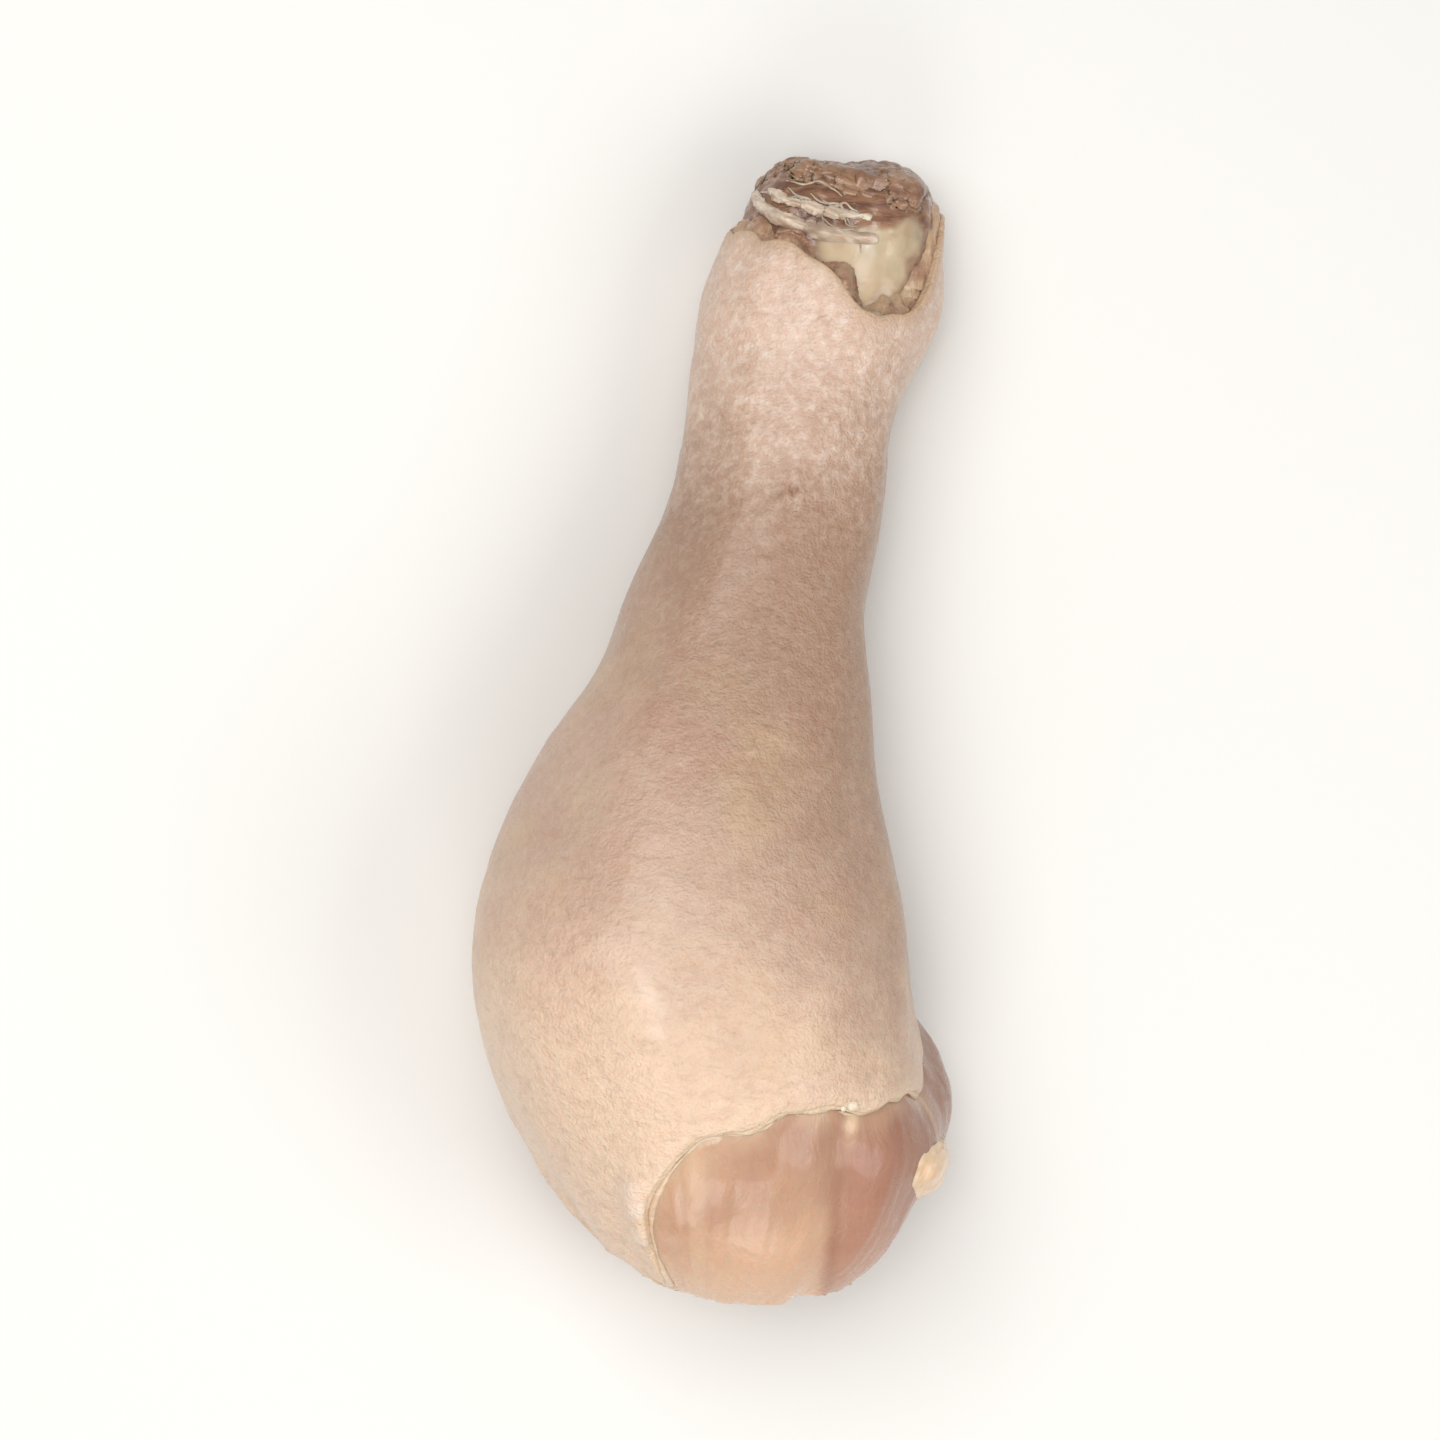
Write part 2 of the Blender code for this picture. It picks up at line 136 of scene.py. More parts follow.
def finerCopy(nodeName, levels):
    shape = bmesh.new()
    shape.from_mesh(nodes[nodeName].data)
    bmesh.ops.remove_doubles(shape, verts=shape.verts, dist=0.005 * mm)
    bmesh.ops.join_triangles(
        shape,
        faces=shape.faces,
        angle_face_threshold=math.radians(50),
        angle_shape_threshold=math.radians(70),
    )
    mesh = bpy.data.meshes.new(nodeName + "Surface")
    shape.to_mesh(mesh)
    shape.free()
    piece = bpy.data.objects.new(nodeName + "Surface", mesh)
    bpy.context.scene.collection.objects.link(piece)
    finer = piece.modifiers.new("finer", "SUBSURF")
    finer.levels = finer.render_levels = levels
    applied = bpy.data.meshes.new_from_object(piece.evaluated_get(bpy.context.evaluated_depsgraph_get()))
    piece.modifiers.clear()
    piece.data = applied
    piece.data.name = nodeName + "Surface"
    bpy.data.meshes.remove(mesh)
    piece.data.shade_smooth()
    return piece


def placesOf(piece):
    found = np.empty(len(piece.data.vertices) * 3)
    piece.data.vertices.foreach_get("co", found)
    return found.reshape(-1, 3)


def normalsOf(piece):
    found = np.empty(len(piece.data.vertices) * 3)
    piece.data.vertex_normals.foreach_get("vector", found)
    return found.reshape(-1, 3)


def moveAll(piece, shiftOf):  # shiftOf(number, place, normal) is a shift in millimetres
    low, high = solidBounds
    for number, (vertex, normal) in enumerate(zip(piece.data.vertices, normalsOf(piece))):
        place = vertex.co / mm
        moved = (place + shiftOf(number, place, Vector(normal))) * mm
        vertex.co = [min(max(moved[k], low[k]), high[k]) for k in range(3)]
    piece.data.update()


def evened(piece, values, rounds):  # a row of numbers for each vertex, averaged over its neighbours
    ends = np.empty(len(piece.data.edges) * 2, dtype=np.int32)
    piece.data.edges.foreach_get("vertices", ends)
    first, second = ends[0::2], ends[1::2]
    count = len(piece.data.vertices)
    neighbours = np.bincount(ends, minlength=count)
    columns = np.array(values, dtype=float).reshape(count, -1).T

    def nextTo(column):  # the sum over each vertex's neighbours
        return np.bincount(first, column[second], count) + np.bincount(second, column[first], count)

    for _ in range(rounds):
        columns = [nextTo(column) / neighbours for column in columns]
    return np.array(columns).T


def surroundings(piece, rounds):  # how far each vertex lies below its smoothed surroundings
    places = placesOf(piece)
    return ((evened(piece, places, rounds) - places) * normalsOf(piece)).sum(axis=1) / mm


def keep(piece, name, values):  # a number for each vertex, which the material reads
    attribute = piece.data.attributes.new(name, "FLOAT", "POINT")
    attribute.data.foreach_set("value", np.array(values, np.float32))


def surfaceOf(piece):  # finds places on a piece, in millimetres
    corners = [vertex.co / mm for vertex in piece.data.vertices]
    return bvhtree.BVHTree.FromPolygons(corners, [face.vertices[:] for face in piece.data.polygons])


def pointTree(places):
    tree = kdtree.KDTree(len(places))
    for number, place in enumerate(places):
        tree.insert(place, number)
    tree.balance()
    return tree


def heightsOver(piece, surface):  # how high each vertex lies over a surface, and the normal there
    found = []
    for vertex in piece.data.vertices:
        place = vertex.co / mm
        foot, normal = surface.find_nearest(place)[:2]
        found.append(((place - foot).dot(normal), normal))
    return found


def settle(piece, surface, look):
    # Lowers a flap onto what carries it, more so at its rim, so that it lies on it without a gap.
    over = heightsOver(piece, surface)
    places = [vertex.co / mm for vertex in piece.data.vertices]
    upright = [abs(Vector(own).dot(normal)) for own, (_, normal) in zip(normalsOf(piece), over)]
    rim = pointTree([place for place, share in zip(places, upright) if share < 0.35])

    def shift(number, place, normal):
        down = look["sink"] + look["rimSink"] * bell(rim.find(place)[2], look["rimWidth"])
        return over[number][1] * -down

    moveAll(piece, shift)


def newPiece(name, shape):  # a piece from a bmesh in millimetres
    bmesh.ops.scale(shape, vec=(mm, mm, mm), verts=shape.verts)
    mesh = bpy.data.meshes.new(name)
    shape.to_mesh(mesh)
    shape.free()
    mesh.shade_smooth()
    piece = bpy.data.objects.new(name, mesh)
    bpy.context.scene.collection.objects.link(piece)
    return piece


def strandsPiece(name, strands):  # a strand is places with radii, closed if its ends are the same
    data = bpy.data.curves.new(name, "CURVE")
    data.dimensions = "3D"
    data.bevel_depth = mm
    data.bevel_resolution = 2
    data.use_fill_caps = True
    for strand in strands:
        closed = strand[0] == strand[-1]
        rows = strand[:-1] if closed else strand
        spline = data.splines.new("POLY")
        spline.points.add(len(rows) - 1)
        spline.use_cyclic_u = closed
        for point, (place, radius) in zip(spline.points, rows):
            point.co = (*(Vector(place) * mm), 1)
            point.radius = radius
    curve = bpy.data.objects.new(name, data)
    bpy.context.scene.collection.objects.link(curve)
    mesh = bpy.data.meshes.new_from_object(curve.evaluated_get(bpy.context.evaluated_depsgraph_get()))
    bpy.data.objects.remove(curve)
    bpy.data.curves.remove(data)
    mesh.name = name
    mesh.materials.clear()
    mesh.shade_smooth()
    piece = bpy.data.objects.new(name, mesh)
    bpy.context.scene.collection.objects.link(piece)
    return piece


def finished(piece, slot, material, *replaced):
    piece.data.materials.clear()
    piece.data.materials.append(material)
    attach(piece, "root")
    if replaced:
        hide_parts(*replaced)
    print(piece.name, "has", sum(len(face.vertices) - 2 for face in piece.data.polygons), "triangles")
    return piece


# The skin: thin, slack and finely wrinkled across the leg, with a torn edge at either end.

skinLook = {
    "levels": 2,
    "dentSize": 13.0,
    "dentDepth": 0.5,
    "wrinkleLength": 7.0,
    "wrinkleSpacing": 2.2,
    "wrinkleDepth": 0.12,
    "thinned": 0.45,
    "gatherReach": 7.0,
    "gatherDepth": 0.3,
    "raggedSize": 3.0,
    "raggedDepth": 0.8,
    "raggedReach": 2.5,
    "drawnIn": 0.6,  # at the hock's edge
    "edgeBelow": 0.4,  # what faces outwards less than this belongs to a torn edge
    "nicks": ((7.8, 25.3, 1.9), (2.0, -3.1, 0.8), (11.6, 44.0, 0.8)),  # where, and how rough
    "nickWidth": 1.6,
    "ridge": ((-11.8, -50.0), (-10.2, -56.5), 0.8, 0.6),  # a pale fold: its ends, half width and height
    "ridgeAbove": 16.0,  # the fold is on the upper side only
    "foldShadeRounds": 6,
    "bumpSpacing": 1.15,
    "creaseSpacing": 1.1,
    "usual": "#C6A892",
    "flush": "#BE937F",
    "fatty": "#D0B28E",
    "shankToneAndShade": "#9E7D66",
    "ankle": "#D5B6A1",
    "knee": "#E8CAAF",
    "bumps": "#E8D6C8",
    "paintedCreaseShade": "#A98069",
    "kneeRim": "#DFC4A6",
    "hockRim": "#C0A284",
    "paleFoldAndHighlight": "#ECD8C7",
    "bands": (
        ("shankToneAndShade", (1.3, 1.0, 0.0), -3.0, 34.0, 0.85),
        ("knee", (0.35, 1.0, 0.0), -10.0, -33.0, 0.9),
        ("ankle", (0.0, 1.0, 0.0), 31.0, 50.0, 0.95),
    ),
}


def skinMaterial(look):
    # Raw chicken skin, plucked and chilled: pale pink beige over yellowish fat, finely creased and pitted,
    # and damp, so it scatters light softly and glints from its creases. A pattern's scale is per
    # millimetre: 0.07 gives patches about 14 mm wide.
    made, tree = emptyMaterial("rawChickenSkin")
    spot = addNode(tree, "ShaderNodeTexCoord").outputs["Object"]
    size = addNode(tree, "ShaderNodeMapping", {"Scale": (1000, 1000, 1000)}, {"Vector": spot})
    drift = addNode(tree, "ShaderNodeTexNoise", {"Scale": 0.22, "Detail": 3.0}, {"Vector": size})
    warped = addNode(
        tree,
        "ShaderNodeVectorMath",
        {"operation": "MULTIPLY_ADD", 1: (4, 4, 4)},
        {0: drift.outputs["Color"], 2: size},
    )
    cells = addNode(
        tree,
        "ShaderNodeTexVoronoi",
        {"feature": "SMOOTH_F1", "Scale": 1 / look["bumpSpacing"], "Smoothness": 0.35},
        {"Vector": size},
    )
    bumps = addNode(tree, "ShaderNodeMapRange", {1: 0.6, 2: 0.15, 3: 0.0, 4: 1.0}, {0: cells})
    long = addNode(tree, "ShaderNodeMapping", {"Scale": (0.5, 1.0, 0.5)}, {"Vector": warped})
    creases = addNode(
        tree,
        "ShaderNodeTexNoise",
        {"Scale": 1 / look["creaseSpacing"], "Detail": 3.0, "Roughness": 0.65},
        {"Vector": long},
    )
    grain = addNode(tree, "ShaderNodeTexNoise", {"Scale": 3.0, "Detail": 2.0}, {"Vector": size})
    raised = addNode(tree, "ShaderNodeMath", {"operation": "MULTIPLY_ADD", 1: 1.1}, {0: creases, 2: grain})
    raised = addNode(tree, "ShaderNodeMath", {"operation": "MULTIPLY_ADD", 1: 0.35}, {0: bumps, 2: raised})
    bump = addNode(tree, "ShaderNodeBump", {"Strength": 0.9, "Distance": 0.00028}, {"Height": raised})

    patches = addNode(
        tree, "ShaderNodeTexNoise", {"Scale": 0.07, "Detail": 5.0, "Roughness": 0.6}, {"Vector": size}
    )
    share = addNode(tree, "ShaderNodeMapRange", {1: 0.42, 2: 0.68, 3: 0.0, 4: 0.7}, {0: patches})
    colour = addNode(
        tree,
        "ShaderNodeMix",
        {"data_type": "RGBA", 6: look["usual"], 7: look["flush"]},
        {0: share},
    )
    moved = addNode(tree, "ShaderNodeMapping", {"Location": (31, 17, 5)}, {"Vector": warped})
    fat = addNode(tree, "ShaderNodeTexNoise", {"Scale": 0.1, "Detail": 4.0}, {"Vector": moved})
    share = addNode(tree, "ShaderNodeMapRange", {1: 0.46, 2: 0.7, 3: 0.0, 4: 0.7}, {0: fat})
    colour = addNode(tree, "ShaderNodeMix", {"data_type": "RGBA", 7: look["fatty"]}, {0: share, 6: colour})
    # The colour changes along the leg: light at the knee, grey brown over the shank, light at the ankle.
    # The brown reaches further down on the shin's side. The borders wander with the drift, which also adds
    # about 8 mm to each direction.
    # The light knee and the grey brown shank are partly the skin's own tone and partly painted light and
    # shade.
    border = addNode(
        tree,
        "ShaderNodeVectorMath",
        {"operation": "MULTIPLY_ADD", 1: (16, 16, 16)},
        {0: drift.outputs["Color"], 2: size},
    )
    colour = bandsOver(tree, border, colour, look)
    # Fine grains of fat under the skin are paler, mostly towards the hock, and creases and folds get
    # painted shade.
    clusters = addNode(
        tree, "ShaderNodeTexNoise", {"Scale": 0.8, "Detail": 4.0, "Roughness": 0.7}, {"Vector": size}
    )
    share = addNode(tree, "ShaderNodeMapRange", {1: 0.44, 2: 0.7, 3: 0.0, 4: 1.0}, {0: clusters})
    upwards = addNode(tree, "ShaderNodeSeparateXYZ", None, {0: border}).outputs["Y"]
    most = addNode(tree, "ShaderNodeMapRange", {1: 26.0, 2: 48.0, 3: 0.14, 4: 0.7}, {0: upwards})
    share = addNode(tree, "ShaderNodeMath", {"operation": "MULTIPLY"}, {0: share, 1: most})
    colour = addNode(tree, "ShaderNodeMix", {"data_type": "RGBA", 7: look["bumps"]}, {0: share, 6: colour})
    # Painted shade: darker and redder in the creases and in the hollows of the folds.
    share = addNode(tree, "ShaderNodeMapRange", {1: 0.52, 2: 0.3, 3: 0.0, 4: 0.22}, {0: creases})
    colour = addNode(tree, "ShaderNodeMix", {"data_type": "RGBA", 7: look["paintedCreaseShade"]}, {0: share, 6: colour})
    foldShadeDepth = addNode(tree, "ShaderNodeAttribute", {"attribute_name": "foldShade"}).outputs["Fac"]
    share = addNode(tree, "ShaderNodeMapRange", {1: 0.02, 2: 0.5, 3: 0.0, 4: 0.45}, {0: foldShadeDepth})
    colour = addNode(tree, "ShaderNodeMix", {"data_type": "RGBA", 7: look["paintedCreaseShade"]}, {0: share, 6: colour})
    # The cut edge is pale fat at the knee, and dry and brownish at the hock.
    # The fold on the tongue of skin is pale fat with a painted highlight along it.
    for name in ("kneeRim", "hockRim", "paleFoldAndHighlight"):
        rim = addNode(tree, "ShaderNodeAttribute", {"attribute_name": name}).outputs["Fac"]
        colour = addNode(tree, "ShaderNodeMix", {"data_type": "RGBA", 7: look[name]}, {0: rim, 6: colour})
    gloss = addNode(tree, "ShaderNodeMapRange", {1: 0.3, 2: 0.7, 3: 0.36, 4: 0.52}, {0: fat})
    shader = addNode(
        tree,
        "ShaderNodeBsdfPrincipled",
        {
            "IOR": 1.42,
            "Subsurface Weight": 0.3,
            "Subsurface Radius": (1.0, 0.5, 0.32),
            "Subsurface Scale": 0.0014,
            "Coat Weight": 0.3,
            "Coat Roughness": 0.16,
        },
        {"Base Color": colour, "Roughness": gloss, "Normal": bump},
    )
    addNode(tree, "ShaderNodeOutputMaterial", None, {"Surface": shader})
    return made


def buildSkin(look):
    piece = finerCopy("skin", look["levels"])
    places, normals = placesOf(piece) / mm, normalsOf(piece)
    faced = [aroundLeg(Vector(place))[1].dot(Vector(normal)) for place, normal in zip(places, normals)]
    onRim = [number for number, share in enumerate(faced) if abs(share) < look["edgeBelow"]]
    tree = pointTree([Vector(places[number]) for number in onRim])
    fromEdge = [tree.find(Vector(place))[2] for place in places]

    start, end, ridgeWidth, ridgeHeight = look["ridge"]
    start, end = Vector((*start, 0)), Vector((*end, 0))

    def ridgeShare(place):  # how near the place is to the fold's line, seen from above
        if place.z < look["ridgeAbove"]:
            return 0.0
        onwards = end - start
        flat = Vector((place.x, place.y, 0)) - start
        share = min(max(flat.dot(onwards) / onwards.length_squared, 0.0), 1.0)
        return bell((flat - onwards * share).length + 0.5 * noise.noise(place / 2.5), ridgeWidth)

    ridge = [ridgeShare(Vector(place)) for place in places]

    def shift(number, place, normal):
        edge = fromEdge[number]
        angle, away = aroundLeg(place)
        outside = smoothStep(0.0, 0.6, faced[number])
        dents = look["dentDepth"] * noise.noise(place / look["dentSize"])
        slack = smoothStep(-0.25, 0.35, noise.noise(place / 21 + Vector((7, 2, 4))))
        wander = 1.6 * noise.noise(place / 9)
        lying = Vector((place.x, 0, place.z)) / look["wrinkleLength"]
        lying.y = (place.y + wander) / look["wrinkleSpacing"]
        wrinkles = look["wrinkleDepth"] * noise.noise(lying) * (0.25 + 0.75 * slack)
        turn = math.radians(angle)
        gathers = look["gatherDepth"] * bell(edge, look["gatherReach"])
        gathers *= noise.noise(Vector((6.5 * math.cos(turn), place.y / 9, 6.5 * math.sin(turn))))
        for x, y, high in look["nicks"]:
            spot = Vector((place.x - x, place.y - y, 0)) if normal.z > 0 else Vector((99, 0, 0))
            gathers += high * bell(spot.length, look["nickWidth"]) * noise.noise(place / 0.9)
        gathers += ridgeHeight * ridge[number] - look["thinned"] * bell(edge, 1.6) * (place.y < 0)
        fade = smoothStep(0.0, 2.5, edge)
        ragged = noise.noise(place / look["raggedSize"])
        torn = look["raggedDepth"] * bell(edge, look["raggedReach"]) * ragged
        drawnIn = away * (look["drawnIn"] * bell(edge, 3.0) * (place.y > 0))
        return normal * (outside * (dents + fade * wrinkles + gathers)) + Vector((0, torn, 0)) - drawnIn

    moveAll(piece, shift)
    onEdge = [0.85 * bell(edge, 1.2) for edge in fromEdge]
    uneven = [0.7 + noise.noise(Vector(place) / 2) for place in places]
    # The fold's pale fat, with a painted highlight along it.
    keep(piece, "paleFoldAndHighlight", [0.7 * share * rough for share, rough in zip(ridge, uneven)])
    keep(piece, "kneeRim", [share * (y < 0) for share, y in zip(onEdge, places[:, 1])])
    keep(piece, "hockRim", [share * (y > 0) for share, y in zip(onEdge, places[:, 1])])
    # How deep each vertex lies in a hollow, for the painted shade in the folds.
    keep(piece, "foldShade", surroundings(piece, look["foldShadeRounds"]))
    rim = [piece.data.vertices[number].co / mm for number in onRim]
    return finished(piece, "skin", skinMaterial(look), "skin"), rim


# The muscle: wet bundles of fibres that run along the leg, with films of fat and membrane on them.

muscleLook = {
    "levels": 2,
    "bundleSize": 4.5,
    "bundleDepth": 0.3,
    "fibreSize": 1.3,
    "fibreDepth": 0.1,
    "fibreLength": 26.0,
    "lumpSize": 9.0,
    "lumpDepth": 0.5,
    "seams": (8, 188, 233, 300),  # turns round the leg
    "straightSeam": 11.0,  # the X of one that runs straight along the top
    "seamDepth": 0.18,
    "closedWithin": 3.2,  # of the bone's end
    "evened": 4,  # how often the swelling beside the skin is evened out
    "edgeFat": 2.2,
    "usual": "#C0967B",
    "deep": "#B0806A",
    "pale": "#CFA98B",
    "mauve": "#A87663",
    "shinToneAndShade": "#8C6049",
    "top": "#A57F68",
    "low": "#DDB898",
    "fat": "#D6B797",
    "seamColourAndShade": "#9A6853",
    "streak": ((12.0, -43.5), (0.8, 2.0)),  # pale: where, and its half width and half length
    "bands": (
        ("top", (0.35, 1.0, 0.0), -52.0, -36.0, 0.75),
        ("low", (0.0, 1.0, 0.0), -50.0, -62.0, 0.75),
        ("mauve", (1.0, 0.0, 0.0), 12.5, 15.0, 0.7),
        ("shinToneAndShade", (1.0, 0.3, 0.0), 2.0, 13.0, 0.8),
    ),
}


def muscleMaterial(look):
    # Raw chicken leg muscle: pale orange pink, darker along its fibres, under a wet, clear film.
    made, tree = emptyMaterial("rawChickenMuscle")
    spot = addNode(tree, "ShaderNodeTexCoord").outputs["Object"]
    size = addNode(tree, "ShaderNodeMapping", {"Scale": (1000, 1000, 1000)}, {"Vector": spot})
    drift = addNode(tree, "ShaderNodeTexNoise", {"Scale": 0.12, "Detail": 2.0}, {"Vector": size})
    warped = addNode(
        tree,
        "ShaderNodeVectorMath",
        {"operation": "MULTIPLY_ADD", 1: (5, 5, 5)},
        {0: drift.outputs["Color"], 2: size},
    )
    long = addNode(tree, "ShaderNodeMapping", {"Scale": (1.0, 0.09, 1.0)}, {"Vector": warped})
    fibres = addNode(
        tree, "ShaderNodeTexNoise", {"Scale": 1.1, "Detail": 4.0, "Roughness": 0.6}, {"Vector": long}
    )
    film = addNode(
        tree, "ShaderNodeTexNoise", {"Scale": 0.5, "Detail": 3.0, "Distortion": 0.6}, {"Vector": size}
    )
    raised = addNode(tree, "ShaderNodeMath", {"operation": "MULTIPLY_ADD", 1: 0.5}, {0: film, 2: fibres})
    bump = addNode(tree, "ShaderNodeBump", {"Strength": 0.6, "Distance": 0.00025}, {"Height": raised})

    share = addNode(tree, "ShaderNodeMapRange", {1: 0.38, 2: 0.7, 3: 0.0, 4: 0.5}, {0: fibres})
    colour = addNode(
        tree,
        "ShaderNodeMix",
        {"data_type": "RGBA", 6: look["usual"], 7: look["deep"]},
        {0: share},
    )
    patches = addNode(tree, "ShaderNodeTexNoise", {"Scale": 0.09, "Detail": 4.0}, {"Vector": warped})
    share = addNode(tree, "ShaderNodeMapRange", {1: 0.42, 2: 0.66, 3: 0.0, 4: 0.8}, {0: patches})
    colour = addNode(tree, "ShaderNodeMix", {"data_type": "RGBA", 7: look["pale"]}, {0: share, 6: colour})
    # It is darker beside the skin and lighter at the knee. Right of the seam it is mauve, and browner
    # towards the shin. The drift adds about 2.5 mm to each direction.
    # The lighter meat at the knee is painted light, and the browner shin side is partly painted shade.
    colour = bandsOver(tree, warped, colour, look)
    # The seams are darker: partly their own colour and partly painted shade in their grooves.
    seamColourAndShade = addNode(tree, "ShaderNodeAttribute", {"attribute_name": "seamColourAndShade"}).outputs["Fac"]
    share = addNode(tree, "ShaderNodeMapRange", {1: 0.0, 2: 1.0, 3: 0.0, 4: 0.7}, {0: seamColourAndShade})
    colour = addNode(tree, "ShaderNodeMix", {"data_type": "RGBA", 7: look["seamColourAndShade"]}, {0: share, 6: colour})
    fat = addNode(tree, "ShaderNodeAttribute", {"attribute_name": "fat"}).outputs["Fac"]
    colour = addNode(tree, "ShaderNodeMix", {"data_type": "RGBA", 7: look["fat"]}, {0: fat, 6: colour})
    gloss = addNode(tree, "ShaderNodeMapRange", {1: 0.35, 2: 0.65, 3: 0.22, 4: 0.4}, {0: film})
    shader = addNode(
        tree,
        "ShaderNodeBsdfPrincipled",
        {
            "IOR": 1.4,
            "Subsurface Weight": 0.45,
            "Subsurface Radius": (1.0, 0.3, 0.18),
            "Subsurface Scale": 0.0022,
            "Coat Weight": 0.35,
            "Coat Roughness": 0.08,
        },
        {"Base Color": colour, "Roughness": gloss, "Normal": bump},
    )
    addNode(tree, "ShaderNodeOutputMaterial", None, {"Surface": shader})
    return made


def buildMuscle(look, skinRim):
    piece = finerCopy("meat", look["levels"])
    kneeRim = [place for place in skinRim if place.y < 0]
    rows = sorted((aroundLeg(place)[0], place.y) for place in kneeRim)
    turns = [row[0] for row in rows]
    edges = [row[1] for row in rows]
    tree = pointTree(kneeRim)
    endOfBone = surfaceOf(nodes["bone"])

    # What lies past the skin is divided once more, for its fibres.
    shape = bmesh.new()
    shape.from_mesh(piece.data)
    bare = set()
    for vertex in shape.verts:
        place = vertex.co / mm
        if place.y < np.interp(aroundLeg(place)[0], turns, edges, period=360) + 1.5:
            bare.add(vertex)
    bareEdges = [edge for edge in shape.edges if edge.verts[0] in bare and edge.verts[1] in bare]
    bmesh.ops.subdivide_edges(shape, edges=bareEdges, cuts=1, use_grid_fill=True)
    shape.to_mesh(piece.data)
    shape.free()
    piece.data.shade_smooth()

    def pastSkin(place):  # how far past the skin's edge, along the leg
        return np.interp(aroundLeg(place)[0], turns, edges, period=360) - place.y

    fromSkin = [tree.find(Vector(place) / mm)[2] for place in placesOf(piece)]

    def onTop(place):
        return smoothStep(16, 26, place.z)

    def fibreSpot(place, acrossSize):
        turn = math.radians(aroundLeg(place)[0])
        return Vector(
            (
                22 * math.cos(turn) / acrossSize,
                place.y / look["fibreLength"] + 0.6 * noise.noise(place / 15),
                22 * math.sin(turn) / acrossSize,
            )
        )

    def seamShare(place):
        wander = 5 * noise.noise(place / 11)
        angle = aroundLeg(place)[0]
        along = 0.7 * noise.noise(Vector((3, place.y / 7, 1)))
        straight = 0.8 * bell(place.x - look["straightSeam"] - along, 1.1) * onTop(place)
        return max(straight, *[bell(turnBetween(angle, at + wander), 3.5) for at in look["seams"]])

    def fatShare(number, place):
        patch = noise.noise(place / 6 + Vector((3, 9, 1)))
        edge = bell(fromSkin[number], look["edgeFat"] * (0.5 + 1.4 * max(patch, 0)))
        streak = smoothStep(0.3, 0.6, noise.noise(fibreSpot(place, 2.6) + Vector((4, 0, 8))))
        along = seams[number] * smoothStep(0.0, 0.3, noise.noise(place / 8))
        (x, y), (width, length) = look["streak"]
        spot = bell(place.x - x, width) * bell(place.y - y, length) * onTop(place)
        return min(0.45 * edge + 0.35 * streak + 0.4 * along + 0.9 * spot, 1.0)

    places = [Vector(place) / mm for place in placesOf(piece)]
    seams = [seamShare(place) for place in places]
    fats = [fatShare(number, place) for number, place in enumerate(places)]

    def swelling(number, place, normal):  # beside the skin's edge the muscle swells up into it
        past = smoothStep(-1.2, -0.1, pastSkin(place))
        gap = max((tree.find(place)[0] - place).dot(normal), 0.0)
        beside = math.sqrt(max(fromSkin[number] ** 2 - gap**2, 0.0))
        return past * min(gap, 3.5) * bell(beside, 2.4)

    normals = [Vector(normal) for normal in normalsOf(piece)]
    swollen = [swelling(number, place, normals[number]) for number, place in enumerate(places)]
    swollen = evened(piece, swollen, look["evened"])[:, 0]

    def shift(number, place, normal):
        lumps = look["lumpDepth"] * noise.noise(place / look["lumpSize"])
        bundles = look["bundleDepth"] * noise.noise(fibreSpot(place, look["bundleSize"]))
        fibres = look["fibreDepth"] * noise.noise(fibreSpot(place, look["fibreSize"]))
        fat = 0.2 * fats[number] * (0.7 + noise.noise(place / 1.8))
        free = smoothStep(0.5, 4.0, fromSkin[number])
        relief = free * (lumps + bundles) + fibres + fat - look["seamDepth"] * seams[number]
        # At the knee it closes round the bone's end.
        closing = Vector((0, 0, 0))
        if place.y < -45:
            foot, _, _, apart = endOfBone.find_nearest(place)
            closing = (foot - place) * (1.1 * (1 - smoothStep(1.0, look["closedWithin"], apart)))
        return normal * (relief + swollen[number]) + closing

    keep(piece, "fat", fats)
    keep(piece, "seamColourAndShade", seams)
    moveAll(piece, shift)
    return finished(piece, "muscle", muscleMaterial(look), "meat")


# The bone with its cartilage: smooth where it shows, and covered by torn tissue elsewhere.

cartilageLook = {
    "levels": 3,
    "lumpSize": 4.0,
    "lumpDepth": 0.22,
    "tornFrom": (11.5, 55.4),  # left of the one and past the other, torn tissue covers the cartilage
    "tornDepth": 0.3,
    "usual": "#CDB798",
    "grey": "#B3A58A",
    "stain": "#A98264",
    "torn": "#936B50",
    "tornDark": "#6F4A38",
    "threadHeading": 25,
}


